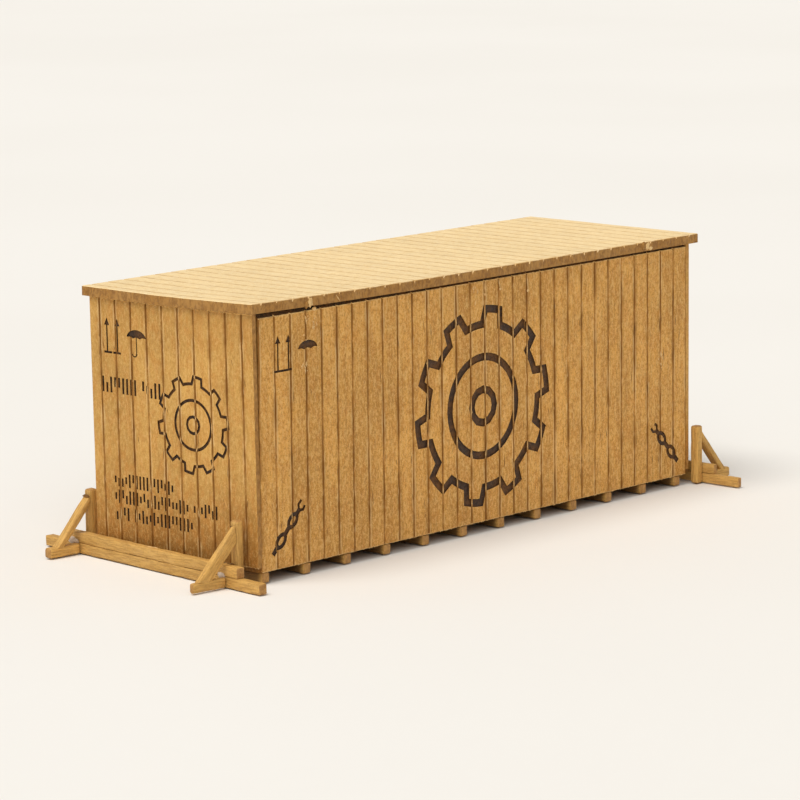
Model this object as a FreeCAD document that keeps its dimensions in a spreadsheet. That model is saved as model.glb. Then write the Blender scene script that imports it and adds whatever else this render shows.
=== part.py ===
"""Laser-cut model of a large wooden shipping crate, standing on bearers between two bracing frames.

Frame: X runs along the crate, +Z is up, and the origin is the middle of the footprint of the crate
with both frames, on the floor. The frames stand unevenly, so the crate is a little off the origin.
Lengths are millimetres and angles are degrees. Every size is bound to the Dims sheet.
"""
import FreeCAD, Part
import os
import Sketcher

from FreeCAD import Placement, Rotation, Vector

DIMENSIONS = {
    # boards engraved into the panels
    "board_pitch": 2.0,
    "side_boards": 30,
    "end_boards": 11,
    "groove_width": 0.2,
    "groove_depth": 0.12,
    # crate shell
    "crate_x": 0.5,
    "crate_y": -0.64,
    "crate_width": 20.6,
    "wall_thickness": 0.5,
    "end_wall_lift": 0.45,
    "wall_clearance": 0.05,
    "lid_gap": 0.25,
    "lid_thickness": 0.9,
    "overhang_left": 0.6,
    "overhang_right": 0.9,
    "overhang_front": 0.36,
    "overhang_back": 0.64,
    # floor and inner structure
    "plate_thickness": 1.0,
    "batten_size": 1.5,
    "batten_height": 22.05,
    "rib_thickness": 1.0,
    "rib_spacing": 20.0,
    # bearers under the crate
    "bearer_width": 0.92,
    "bearer_height": 0.95,
    "bearer_start": 0.545,
    "bearer_stop": 1.265,
    "bearer_inset": 0.05,
    # bracing frames: strips, posts and knees
    "strip_height": 0.98,
    "left_beam_width": 0.92,
    "right_beam_width": 0.55,
    "post_size": 0.92,
    "post_height": 5.8,
    "knee_outset": 0.5,
    "sill_reach": 4.4,
    "beam_reach": 1.4,
    "foot_length": 3.9,
    "short_foot_length": 3.55,
    "foot_width": 0.92,
    "thin_foot_width": 0.55,
    "toe": 0.8,
    "strut_top": 5.1,
    "strut_depth": 0.62,
    "thin_strut_depth": 0.84,
    # where the frames stand: turned a little, just clear of the crate's back corners
    "left_turn": -5.0,
    "right_turn": 180.3,
    "left_shift": -1.04,
    "right_shift": 0.61,
    "brace_clearance": 0.04,
}
BEARER_COUNT = 12

doc = FreeCAD.newDocument("ShippingCrate")
sheet = doc.addObject("Spreadsheet::Sheet", "Dims")
for row, (alias, size) in enumerate(DIMENSIONS.items(), start=1):
    sheet.set(f"A{row}", alias)
    sheet.set(f"B{row}", str(size))
    sheet.setAlias(f"B{row}", alias)
doc.recompute()

# Expressions for sizes that several pieces share
CRATE_LENGTH = "(Dims.side_boards * Dims.board_pitch)"
END_FACE = f"({CRATE_LENGTH} / 2 + Dims.wall_thickness)"
SIDE_FACE = "(Dims.crate_width / 2)"
INNER_WIDTH = "(Dims.crate_width - 2 * Dims.wall_thickness)"
PLATE_TOP = "(Dims.bearer_height + Dims.plate_thickness)"
LID_UNDERSIDE = f"({PLATE_TOP} + Dims.batten_height)"
SIDE_WALL_FOOT = "(Dims.bearer_height + Dims.wall_clearance)"
END_WALL_FOOT = f"({SIDE_WALL_FOOT} + Dims.end_wall_lift)"
KNEE_FACE = "(Dims.crate_width / 2 + Dims.knee_outset)"

sub_parts = []


def place(piece, x="0", y="0", z="0", turn="0"):
    """Bind a piece's placement: a position from the crate's centre, and a turn about the vertical."""
    piece.Placement = Placement(Vector(0, 0, 0), Rotation(Vector(0, 0, 1), 1.0))
    piece.setExpression("Placement.Base.x", f"({x} + Dims.crate_x) * 1 mm")
    piece.setExpression("Placement.Base.y", f"({y} + Dims.crate_y) * 1 mm")
    piece.setExpression("Placement.Base.z", f"({z}) * 1 mm")
    piece.setExpression("Placement.Rotation.Angle", f"({turn}) * 1 deg")


def add_block(label, length, width, height):
    """A plain strip or sheet, cut square."""
    block = doc.addObject("Part::Box", label)
    block.Label = label
    block.setExpression("Length", f"({length}) * 1 mm")
    block.setExpression("Width", f"({width}) * 1 mm")
    block.setExpression("Height", f"({height}) * 1 mm")
    sub_parts.append(block)
    return block


def add_body(label):
    body = doc.addObject("PartDesign::Body", label)
    body.Label = label
    sub_parts.append(body)
    return body


def add_sketch(body, name, plane_role, corners):
    """A closed outline through corners, each an (across, up) pair of expressions on an origin plane."""
    plane = [feature for feature in body.Origin.OriginFeatures if feature.Role == plane_role][0]
    sketch = body.newObject("Sketcher::SketchObject", name)
    sketch.AttachmentSupport = [(plane, "")]
    sketch.MapMode = "FlatFace"
    starts = [Vector(1 + index, 1 + index * index, 0) for index in range(len(corners))]
    for start, end in zip(starts, starts[1:] + starts[:1]):
        sketch.addGeometry(Part.LineSegment(start, end), False)
    for index in range(len(corners)):
        following = (index + 1) % len(corners)
        sketch.addConstraint(Sketcher.Constraint("Coincident", index, 2, following, 1))
    for index, (across, up) in enumerate(corners):
        fix_coordinate(sketch, index, "DistanceX", -2, f"across_{index}", across)
        fix_coordinate(sketch, index, "DistanceY", -1, f"up_{index}", up)
    return sketch


def fix_coordinate(sketch, index, direction, zero_axis, name, expression):
    """Hold one coordinate of a corner: on the axis where it is zero, else at a bound distance."""
    if expression == "0":
        sketch.addConstraint(Sketcher.Constraint("PointOnObject", index, 1, zero_axis))
        return
    number = sketch.addConstraint(Sketcher.Constraint(direction, -1, 1, index, 1, 1.0))
    sketch.renameConstraint(number, name)
    sketch.setExpression(f"Constraints.{name}", f"({expression}) * 1 mm")


def rectangle(length, height):
    return [("0", "0"), (length, "0"), (length, height), ("0", height)]


def add_pad(body, sketch, thickness, reverse=False):
    pad = body.newObject("PartDesign::Pad", f"{body.Name}_sheet")
    pad.Profile = sketch
    pad.setExpression("Length", f"({thickness}) * 1 mm")
    pad.Reversed = reverse
    return pad


def add_grooves(body, profile, axis_role, count):
    """Cut one V groove right through and repeat it at the board pitch along an origin axis."""
    doc.recompute()
    groove = body.newObject("PartDesign::Pocket", f"{body.Name}_groove")
    groove.Profile = profile
    groove.Type = "ThroughAll"
    groove.Midplane = True
    doc.recompute()
    axis = [feature for feature in body.Origin.OriginFeatures if feature.Role == axis_role][0]
    grooves = body.newObject("PartDesign::LinearPattern", f"{body.Name}_boards")
    grooves.Originals = [groove]
    grooves.Direction = (axis, [""])
    grooves.Mode = "Spacing"
    grooves.setExpression("Offset", "Dims.board_pitch * 1 mm")
    grooves.setExpression("Occurrences", count)
    body.Tip = grooves
    return grooves


def groove_profile(first, surface, inward):
    """The V of one engraved line: centred on first, open at surface, its root on the inward side."""
    half = "Dims.groove_width / 2"
    return [(f"{first} - {half}", surface), (f"{first} + {half}", surface), (first, inward)]


# ---- crate: floor ----

def make_floor():
    plate = add_block("base_plate", CRATE_LENGTH, INNER_WIDTH, "Dims.plate_thickness")
    place(plate, f"-{CRATE_LENGTH} / 2", f"-{INNER_WIDTH} / 2", "Dims.bearer_height")
    first = f"(Dims.bearer_start - {CRATE_LENGTH} / 2)"
    last = f"({CRATE_LENGTH} / 2 - Dims.bearer_stop)"
    for index in range(BEARER_COUNT):
        share = index / (BEARER_COUNT - 1)
        bearer = add_block(
            f"bearer_{index + 1:02d}",
            "Dims.bearer_width",
            "Dims.crate_width - 2 * Dims.bearer_inset",
            "Dims.bearer_height",
        )
        centre = f"{first} + {share} * ({last} - {first})"
        place(bearer, f"{centre} - Dims.bearer_width / 2", f"-{SIDE_FACE} + Dims.bearer_inset")


# ---- crate: walls and lid ----

def make_side_wall(label, x, y, turn):
    """A long wall: its outer face is the local XZ plane and it is as thick as the sheet along +Y."""
    wall = add_body(label)
    height = f"{LID_UNDERSIDE} - Dims.lid_gap - {SIDE_WALL_FOOT}"
    outline = add_sketch(wall, f"{label}_outline", "XZ_Plane", rectangle(CRATE_LENGTH, height))
    add_pad(wall, outline, "Dims.wall_thickness", reverse=True)
    vee = add_sketch(
        wall, f"{label}_vee", "XY_Plane", groove_profile("Dims.board_pitch", "0", "Dims.groove_depth")
    )
    add_grooves(wall, vee, "X_Axis", "Dims.side_boards - 1")
    place(wall, x, y, SIDE_WALL_FOOT, turn)


def make_end_wall(label, x, y, turn):
    """A short wall: its outer face is the local YZ plane and it is as thick as the sheet along +X."""
    wall = add_body(label)
    height = f"{LID_UNDERSIDE} - {END_WALL_FOOT}"
    outline = add_sketch(wall, f"{label}_outline", "YZ_Plane", rectangle("Dims.crate_width", height))
    add_pad(wall, outline, "Dims.wall_thickness")
    edge_board = "(Dims.crate_width - (Dims.end_boards - 2) * Dims.board_pitch) / 2"
    half = "Dims.groove_width / 2"
    corners = [
        ("0", f"{edge_board} - {half}"),
        ("0", f"{edge_board} + {half}"),
        ("Dims.groove_depth", edge_board),
    ]
    vee = add_sketch(wall, f"{label}_vee", "XY_Plane", corners)
    add_grooves(wall, vee, "Y_Axis", "Dims.end_boards - 1")
    place(wall, x, y, END_WALL_FOOT, turn)


def make_lid():
    """The flat lid: boards run across it, and the grooves line up with those of the side walls."""
    lid = add_body("lid")
    length = f"{CRATE_LENGTH} + 2 * Dims.wall_thickness + Dims.overhang_left + Dims.overhang_right"
    width = "Dims.crate_width + Dims.overhang_front + Dims.overhang_back"
    outline = add_sketch(lid, "lid_outline", "XY_Plane", rectangle(length, width))
    add_pad(lid, outline, "Dims.lid_thickness")
    first = "(Dims.overhang_left + Dims.wall_thickness)"
    root = "Dims.lid_thickness - Dims.groove_depth"
    vee = add_sketch(lid, "lid_vee", "XZ_Plane", groove_profile(first, "Dims.lid_thickness", root))
    add_grooves(lid, vee, "X_Axis", "Dims.side_boards + 1")
    place(lid, f"-{END_FACE} - Dims.overhang_left", f"-{SIDE_FACE} - Dims.overhang_front", LID_UNDERSIDE)


def make_shell():
    make_side_wall("side_wall_front", f"-{CRATE_LENGTH} / 2", f"-{SIDE_FACE}", "0")
    make_side_wall("side_wall_back", f"{CRATE_LENGTH} / 2", SIDE_FACE, "180")
    make_end_wall("end_wall_left", f"-{END_FACE}", f"-{SIDE_FACE}", "0")
    make_end_wall("end_wall_right", END_FACE, SIDE_FACE, "180")
    make_lid()


# ---- crate: battens and ribs inside ----

def make_inner_structure():
    low_x = f"-{CRATE_LENGTH} / 2"
    high_x = f"{CRATE_LENGTH} / 2 - Dims.batten_size"
    low_y = f"-{INNER_WIDTH} / 2"
    high_y = f"{INNER_WIDTH} / 2 - Dims.batten_size"
    corners = {
        "corner_batten_front_left": (low_x, low_y),
        "corner_batten_front_right": (high_x, low_y),
        "corner_batten_back_left": (low_x, high_y),
        "corner_batten_back_right": (high_x, high_y),
    }
    for label, (x, y) in corners.items():
        batten = add_block(label, "Dims.batten_size", "Dims.batten_size", "Dims.batten_height")
        place(batten, x, y, PLATE_TOP)
    for label, side in (("inner_rib_left", "-1"), ("inner_rib_right", "1")):
        rib = add_block(label, "Dims.rib_thickness", INNER_WIDTH, "Dims.batten_height")
        place(rib, f"{side} * Dims.rib_spacing / 2 - Dims.rib_thickness / 2", low_y, PLATE_TOP)


# ---- bracing frames ----

class BraceFrame:
    """One frame, in local axes: x towards the crate from the beams' outer face, y along the beams."""

    def __init__(self, name, turn, reach, shift, beam_width):
        self.name = name
        self.turn = turn
        self.reach = reach
        self.shift = shift
        self.beam_width = beam_width

    def put(self, piece, x, y, z):
        across = f"({self.reach} + {x})"
        along = f"({self.shift} + {y})"
        place(
            piece,
            f"{across} * cos({self.turn}) - {along} * sin({self.turn})",
            f"{across} * sin({self.turn}) + {along} * cos({self.turn})",
            z,
            self.turn,
        )

    def make_beams(self):
        sill = add_block(
            f"{self.name}_sill",
            self.beam_width,
            f"2 * ({KNEE_FACE} + Dims.sill_reach)",
            "Dims.strip_height",
        )
        self.put(sill, "0", f"-{KNEE_FACE} - Dims.sill_reach", "0")
        beam = add_block(
            f"{self.name}_upper_beam",
            self.beam_width,
            f"2 * ({KNEE_FACE} + Dims.beam_reach)",
            "Dims.strip_height",
        )
        self.put(beam, "0", f"-{KNEE_FACE} - Dims.beam_reach", "Dims.strip_height")

    def make_knee(self, side, low_edge, foot_length, foot_width, strut_depth):
        """A post, a foot on the floor and the strut between them, flush with the frame's side."""
        def edge(width):
            return f"-{KNEE_FACE}" if low_edge else f"{KNEE_FACE} - {width}"

        post = add_block(f"{self.name}_post_{side}", "Dims.post_size", "Dims.post_size", "Dims.post_height")
        self.put(post, self.beam_width, edge("Dims.post_size"), "0")
        foot = add_block(f"{self.name}_foot_{side}", foot_length, foot_width, "Dims.strip_height")
        self.put(foot, f"-{foot_length}", edge(foot_width), "0")

        strut = add_body(f"{self.name}_strut_{side}")
        run = f"({foot_length} + {self.beam_width} - Dims.toe)"
        rise = "(Dims.strut_top - Dims.strip_height)"
        drop = f"({strut_depth} * sqrt({run}^2 + {rise}^2) / {run})"
        corners = [
            ("Dims.toe", "Dims.strip_height"),
            (f"Dims.toe + {drop} * {run} / {rise}", "Dims.strip_height"),
            (f"Dims.toe + {run}", f"Dims.strut_top - {drop}"),
            (f"Dims.toe + {run}", "Dims.strut_top"),
        ]
        outline = add_sketch(strut, f"{strut.Name}_outline", "XZ_Plane", corners)
        add_pad(strut, outline, foot_width, reverse=True)
        self.put(strut, f"-{foot_length}", edge(foot_width), "0")


def make_left_brace():
    """The left frame's beams stop just short of the crate's back left corner."""
    reach = (
        f"(-{END_FACE} * cos(Dims.left_turn) + {SIDE_FACE} * sin(Dims.left_turn)"
        " - Dims.left_beam_width - Dims.brace_clearance)"
    )
    brace = BraceFrame("brace_left", "Dims.left_turn", reach, "Dims.left_shift", "Dims.left_beam_width")
    brace.make_beams()
    brace.make_knee("front", True, "Dims.foot_length", "Dims.thin_foot_width", "Dims.thin_strut_depth")
    brace.make_knee("back", False, "Dims.short_foot_length", "Dims.foot_width", "Dims.strut_depth")


def make_right_brace():
    """The right frame's back post stops just short of the crate's back right corner."""
    reach = (
        f"({END_FACE} * cos(Dims.right_turn) + {SIDE_FACE} * sin(Dims.right_turn)"
        " - Dims.right_beam_width - Dims.post_size - Dims.brace_clearance)"
    )
    brace = BraceFrame("brace_right", "Dims.right_turn", reach, "Dims.right_shift", "Dims.right_beam_width")
    brace.make_beams()
    brace.make_knee("back", True, "Dims.foot_length", "Dims.foot_width", "Dims.strut_depth")
    brace.make_knee("front", False, "Dims.foot_length", "Dims.foot_width", "Dims.strut_depth")


def check_document():
    for item in doc.Objects:
        if "Invalid" in item.State or "Error" in item.State:
            raise RuntimeError(f"{item.Name} did not compute: {item.State}")
    for piece in sub_parts:
        if piece.Shape.isNull() or not piece.Shape.isValid() or len(piece.Shape.Solids) != 1:
            raise RuntimeError(f"{piece.Label} is not one valid solid")


def write_parts():
    os.makedirs("parts", exist_ok=True)
    for piece in sub_parts:
        piece.Shape.exportStep(f"parts/{piece.Label}.step")


make_floor()
make_shell()
make_inner_structure()
make_left_brace()
make_right_brace()
doc.recompute()
check_document()
write_parts()
for piece in sub_parts:
    box = piece.Shape.BoundBox
    size = " x ".join(f"{length:.2f}" for length in (box.XLength, box.YLength, box.ZLength))
    print(f"{piece.Label}: {size}, volume {piece.Shape.Volume:.2f}")
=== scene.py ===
"""A model shipping crate of laser-cut card, with two loose bracing frames."""

import math
import random

import bmesh
import bpy
from mathutils import Matrix, Vector, noise
from mathutils.geometry import tessellate_polygon


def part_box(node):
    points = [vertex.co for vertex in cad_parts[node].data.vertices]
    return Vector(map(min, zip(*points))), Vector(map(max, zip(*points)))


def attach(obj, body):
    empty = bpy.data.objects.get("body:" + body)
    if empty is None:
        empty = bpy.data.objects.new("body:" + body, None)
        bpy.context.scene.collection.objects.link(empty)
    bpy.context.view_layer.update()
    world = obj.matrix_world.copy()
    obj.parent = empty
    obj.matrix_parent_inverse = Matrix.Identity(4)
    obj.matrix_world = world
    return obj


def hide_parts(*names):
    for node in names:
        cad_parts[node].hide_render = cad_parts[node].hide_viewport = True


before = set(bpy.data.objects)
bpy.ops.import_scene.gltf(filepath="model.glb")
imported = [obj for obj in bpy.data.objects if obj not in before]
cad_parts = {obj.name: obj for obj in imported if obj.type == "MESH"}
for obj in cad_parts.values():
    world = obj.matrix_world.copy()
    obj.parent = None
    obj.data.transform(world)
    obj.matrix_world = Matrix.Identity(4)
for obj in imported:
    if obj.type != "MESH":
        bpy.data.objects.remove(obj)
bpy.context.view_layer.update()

# Lengths below are millimetres, in the same frame as the CAD, unless a comment says otherwise.
MM = 0.001
SIDE_BOARDS = 30

# Grooved sheets: half a groove's width, its depth, the chamfer round the face, how far the rim
# sits back, how far the face waves, and the distance between rows of points.
GROOVE_HALF = 0.10
GROOVE_DEPTH = 0.13
GROOVE_FLOOR_HALF = 0.02
CHAMFER = 0.07
RIM_DROP = 0.05
FACE_WAVE = 0.02
ROW_SPACING = 0.9

# Engraved marks: how deep they are cut, how far their cutter stands out of the face, and half
# the gap where they part at a groove.
MARK_DEPTH = 0.13
CUTTER_RISE = 0.20
MARK_GAP = 0.11

# How the hand-built crate strays from the CAD: the end wall's lean at its top, the lift of the
# lid's near left corner, how far along and across that lift reaches, and the wear of wall tops.
END_LEAN = 0.34
CORNER_LIFT = 0.26
LIFT_ALONG = 24
LIFT_ACROSS = 12
WALL_WEAR = 0.06

# How much of a wall's top bends to follow the lid.
SIDE_TOP_BAND = 0.5
END_TOP_BAND = 1.5

# Wood strips: how far their edges are eased, and the distance between the cuts across them.
BEARER_ROUNDING = 0.15
BEAM_ROUNDING = 0.11
POST_ROUNDING = 0.22
FOOT_ROUNDING = 0.24
STRIP_SPACING = 0.6

# How the left frame strays from the CAD: its posts and struts stand further along the crate.
# Struts on both frames are longer than the CAD's by a ratio, and the near left one is deeper.
LEFT_POST_MOVE = 0.30
LEFT_STRUT_MOVE = 0.15
STRUT_LENGTH_RATIO = 1.10
NEAR_STRUT_DEPTH_RATIO = 1.45

# Faces smaller than this are shaded smooth on rounded pieces, in square millimetres.
FLAT_AREA = 0.16

# The places of a sheet's materials.
FACE, CUT_EDGE, RIM, BURNT_MARK = range(4)

# Chance wear on the walls: the first of their four seeds, and how much there is of it.
FIBRE_SEED = 5
FIBRES_PER_GROOVE = 5
FOOT_FIBRES_PER_MM = 6
FIBRES_PER_SCAR = 9
CRACK_SEED = 15
CRACKS_PER_MM = 1.3

# The camera.
AZIMUTH = math.radians(-47.4913)
ELEVATION = math.radians(9.8346)
ROLL = math.radians(-0.6094)
DISTANCE = 414.90
TARGET = Vector((21.7607, 19.3315, 6.2999))
SENSOR = 36.0
LENS = 182.59

# The lights: strengths, and the angles in degrees that they seem to fill.
SKY_STRENGTH = 0.39
OVERHEAD_STRENGTH = 2.10
OVERHEAD_ANGLE = 32
FRONT_STRENGTH = 0.80
FRONT_ANGLE = 40
LAMP_TINT = (1.0, 0.985, 0.96)

# The floor: its radius, and how far it is under the bearers.
FLOOR_RADIUS = 4000
FLOOR_GAP = 0.1

# Colours, as linear red, green and blue.
WALL = (0.600, 0.312, 0.074)
WALL_DARK = (0.270, 0.108, 0.014)
WALL_WARM = (0.540, 0.226, 0.042)
WALL_PALE = (0.840, 0.550, 0.210)
SCORCH = (0.220, 0.082, 0.008)
# The lid's colours are paler than the walls' card: painted sheen and the stronger light on its top.
LID = (0.885, 0.672, 0.355)
LID_DARK = (0.660, 0.410, 0.155)
LID_PALE = (0.930, 0.770, 0.490)
LID_LINE = (0.400, 0.210, 0.060)
EDGE = (0.400, 0.192, 0.044)
EDGE_DARK = (0.180, 0.078, 0.020)
EDGE_PALE = (0.500, 0.275, 0.085)
STRIP = (0.645, 0.368, 0.098)
STRIP_DARK = (0.330, 0.150, 0.034)
STRIP_PALE = (0.760, 0.480, 0.165)
END_GRAIN = (0.500, 0.268, 0.084)
END_GRAIN_DARK = (0.260, 0.115, 0.036)
INNER = (0.120, 0.058, 0.020)
INNER_DARK = (0.050, 0.024, 0.010)
FIBRE = (0.780, 0.520, 0.225)
FIBRE_DARK = (0.560, 0.320, 0.110)
BURNT = (0.066, 0.040, 0.026)
BURNT_DARK = (0.022, 0.014, 0.010)
GLUE = (0.600, 0.480, 0.360)
GLUE_DARK = (0.380, 0.270, 0.180)
FLOOR = (0.830, 0.806, 0.760)
FLOOR_DARK = (0.815, 0.790, 0.742)
SKY = (1.0, 0.990, 0.980)


# ---------------------------------------------------------------- materials

class Surface:
    """One procedural material, whose textures are laid out in millimetres on the piece."""

    def __init__(self, name):
        self.material = bpy.data.materials.new(name)
        self.material.use_nodes = True
        self.tree = self.material.node_tree
        self.tree.nodes.clear()
        metres = self.add("ShaderNodeTexCoord").outputs["Object"]
        self.place = self.scaled(metres, (1 / MM, 1 / MM, 1 / MM))

    def add(self, kind, **settings):
        """A node; each setting is a property's value, or an input's value or source."""
        node = self.tree.nodes.new(kind)
        inputs = settings.pop("inputs", {})
        for key, value in settings.items():
            setattr(node, key, value)
        for key, value in inputs.items():
            if isinstance(value, bpy.types.NodeSocket):
                self.tree.links.new(value, node.inputs[key])
            else:
                node.inputs[key].default_value = value
        return node

    def scaled(self, vector, scale):
        inputs = {"Vector": vector, "Scale": scale}
        return self.add("ShaderNodeMapping", inputs=inputs).outputs["Vector"]

    def noise(self, scale, detail=3.0, roughness=0.55, stretch=(1, 1, 1), bend=0.0):
        """Smooth noise, with about that many features to the millimetre."""
        vector = self.scaled(self.place, stretch)
        inputs = {"Vector": vector, "Scale": scale, "Detail": detail,
                  "Roughness": roughness, "Distortion": bend}
        return self.add("ShaderNodeTexNoise", inputs=inputs).outputs["Fac"]

    def window(self, value, low, high):
        """0 below low, 1 above high, and smooth between; low may be the greater."""
        turned = low > high
        inputs = {"Value": value, "From Min": min(low, high), "From Max": max(low, high)}
        if turned:
            inputs.update({"To Min": 1.0, "To Max": 0.0})
        node = self.add("ShaderNodeMapRange", interpolation_type="SMOOTHSTEP", inputs=inputs)
        return node.outputs["Result"]

    def calc(self, operation, first, second=0.0):
        """The result of one operation on two values or sockets."""
        inputs = {0: first, 1: second}
        return self.add("ShaderNodeMath", operation=operation, inputs=inputs).outputs[0]

    def mix(self, amount, first, second):
        """Two colours, each a triple or a socket, mixed by an amount or a socket."""
        node = self.add("ShaderNodeMix", data_type="RGBA")
        sockets = (node.inputs[0], node.inputs[6], node.inputs[7])
        for socket, value in zip(sockets, (amount, first, second)):
            if isinstance(value, bpy.types.NodeSocket):
                self.tree.links.new(value, socket)
            elif isinstance(value, tuple):
                socket.default_value = (*value, 1.0)
            else:
                socket.default_value = value
        return node.outputs[2]

    def layers(self, colour, *rows):
        """A colour with others laid over it; each row is a mask, its strength and a colour."""
        for mask, strength, other in rows:
            colour = self.mix(self.calc("MULTIPLY", mask, strength), colour, other)
        return colour

    def axis(self, letter):
        node = self.add("ShaderNodeSeparateXYZ", inputs={"Vector": self.place})
        return node.outputs[letter.upper()]

    def bump(self, height, strength, distance):
        inputs = {"Height": height, "Strength": strength, "Distance": distance * MM}
        return self.add("ShaderNodeBump", inputs=inputs).outputs["Normal"]

    def finish(self, colour, roughness, normal, gloss=0.25):
        inputs = {"Base Color": colour, "Roughness": roughness, "Normal": normal,
                  "Specular IOR Level": gloss}
        shader = self.add("ShaderNodeBsdfPrincipled", inputs=inputs)
        self.add("ShaderNodeOutputMaterial", inputs={"Surface": shader.outputs["BSDF"]})
        return self.material


def shaded(colour, amount):
    """A colour, darker below an amount of 1 and brighter above it."""
    return tuple(c * amount for c in colour)


def card_fibres(surface, along="z"):
    """Pressed card's look: (long fibres, dark grain, pale grain, warm patches)."""
    stretch = {"y": (1, 0.28, 1), "z": (1, 1, 0.28)}[along]
    short = {"y": (1, 0.5, 1), "z": (1, 1, 0.5)}[along]
    fibres = surface.window(surface.noise(3.2, 3.0, 0.65, stretch, bend=0.5), 0.50, 0.64)
    grain = surface.noise(4.2, 3.0, 0.84, short)
    fine = surface.calc("SUBTRACT", surface.noise(9.0, 1.0, 0.5), 0.5)
    grain = surface.calc("ADD", grain, surface.calc("MULTIPLY", fine, 0.40))
    dark = surface.window(grain, 0.49, 0.38)
    pale = surface.window(grain, 0.52, 0.62)
    warm = surface.window(surface.noise(1.3, 3.0, 0.65, short), 0.46, 0.60)
    return fibres, dark, pale, warm


def groove_lines(surface, letter, start, pitch, wobble=0.22, breaks=0.58):
    """Darkness in the grooves, smoke stain and pale torn fibres beside them, across that axis.

    wobble is how far the lines stray, and breaks how much of them fades.
    """
    along = surface.calc("SUBTRACT", surface.axis(letter), start)
    away = surface.calc("PINGPONG", along, pitch / 2)
    stray = surface.calc("MULTIPLY", surface.noise(1.3, 3.0, 0.6, (1, 1, 0.5)), wobble)
    away = surface.calc("ADD", away, stray)
    line = surface.window(away, 0.19 + wobble / 2, 0.04 + wobble / 2)
    whole = surface.window(surface.noise(0.24, 2.0, 0.5), 0.22, breaks)
    smoky = surface.window(surface.noise(0.30, 2.0, 0.5), 0.42, 0.66)
    torn = surface.window(surface.noise(0.9, 3.0, 0.6, (1, 1, 0.22)), 0.50, 0.60)
    inner, outer = surface.window(away, 0.19, 0.27), surface.window(away, 0.44, 0.30)
    line = surface.calc("MULTIPLY", line, whole)
    stain = surface.calc("MULTIPLY", surface.window(away, 0.66, 0.14), smoky)
    ridge = surface.calc("MULTIPLY", inner, outer)
    return line, stain, surface.calc("MULTIPLY", ridge, torn)


def board_tone(surface, letter, start, pitch):
    """One random number for each board."""
    along = surface.calc("SUBTRACT", surface.axis(letter), start)
    index = surface.calc("FLOOR", surface.calc("DIVIDE", along, pitch))
    node = surface.add("ShaderNodeTexWhiteNoise", noise_dimensions="1D", inputs={"W": index})
    return node.outputs["Value"]


def make_wall_material(name, letter, start, pitch, tint, foot_shade, top_shade, grain, streaks):
    """Grooved card; foot_shade and top_shade are how strong its painted shade is near the floor and
    under the lid.

    tint brightens the card's red, green and blue, and grain and streaks are how strong its flecks
    and its upright streaks are.
    """
    surface = Surface(name)
    fibres, dark, pale, warm = card_fibres(surface)
    line, stain, torn = groove_lines(surface, letter, start, pitch)
    board = board_tone(surface, letter, start, pitch)
    height = surface.axis("z")
    # Painted shade: the card darkens towards the floor and under the lid.
    foot = surface.window(height, 12.0, -2.0)
    top = surface.window(height, 17.0, 25.0)
    streak = surface.window(surface.noise(1.5, 3.0, 0.65, (1, 1, 0.09)), 0.47, 0.62)
    tone = surface.window(surface.noise(0.16, 2.0, 0.5), 0.3, 0.7)
    card = [c * t for c, t in zip(WALL, tint)]
    colour = surface.layers(
        surface.mix(tone, shaded(card, 0.88), shaded(card, 1.08)),
        (board, 0.22, WALL_DARK),
        (foot, foot_shade, WALL_DARK),
        (top, top_shade, WALL_DARK),
        (streak, 0.32 * streaks, WALL_DARK),
        (warm, 0.40, WALL_WARM),
        (fibres, 0.34 * streaks, WALL_PALE),
        (pale, grain, WALL_PALE),
        (dark, grain, WALL_DARK),
        (stain, 0.60, WALL_DARK),
        (line, 0.82, SCORCH),
        (torn, 0.50, FIBRE))
    sunk = surface.calc("MULTIPLY", fibres, -0.3)
    relief = surface.calc("ADD", surface.noise(2.5, 4.0, 0.82), sunk)
    rough = surface.window(surface.noise(1.1), -0.6, 1.3)
    return surface.finish(colour, rough, surface.bump(relief, 0.6, 0.07))


def make_lid_material():
    """Grooved card painted paler than the walls, as painted sheen and top light, with its fibres
    across the crate.
    """
    surface = Surface("lid_card")
    fibres, dark, pale, warm = card_fibres(surface, "y")
    line, stain, torn = groove_lines(surface, "x", side_low.x, pitch, wobble=0.10, breaks=0.34)
    tone = surface.window(surface.noise(0.14, 2.0, 0.5), 0.3, 0.7)
    colour = surface.layers(
        surface.mix(tone, shaded(LID, 0.97), shaded(LID, 1.03)),
        (fibres, 0.12, LID_DARK),
        (warm, 0.14, LID_DARK),
        (pale, 0.40, LID_PALE),
        (dark, 0.32, LID_DARK),
        (stain, 0.10, LID_DARK),
        (line, 0.66, LID_LINE),
        (torn, 0.20, LID_PALE))
    relief = surface.noise(2.5, 4.0, 0.82)
    rough = surface.window(surface.noise(1.1), -0.6, 1.4)
    return surface.finish(colour, rough, surface.bump(relief, 0.5, 0.05))


def make_speckled_material(name, base, dark, pale, stretch, strength=0.6, gloss=0.2):
    """A material of short streaks, for cut edges, end grain, burnt marks, fibres and glue."""
    surface = Surface(name)
    streaks = surface.window(surface.noise(2.4, 3.0, 0.6, stretch), 0.38, 0.66)
    flecks = surface.window(surface.noise(5.0, 3.0, 0.7), 0.50, 0.72)
    patches = surface.window(surface.noise(0.5, 2.0, 0.5), 0.35, 0.70)
    colour = surface.layers(
        base,
        (patches, 0.5, pale),
        (streaks, 0.6, dark),
        (flecks, 0.4, pale))
    rough = surface.window(surface.noise(1.4), -0.5, 1.4)
    sunk = surface.calc("MULTIPLY", streaks, -0.6)
    relief = surface.calc("ADD", surface.noise(5.0, 4.0, 0.7), sunk)
    return surface.finish(colour, rough, surface.bump(relief, strength, 0.05), gloss)


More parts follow.
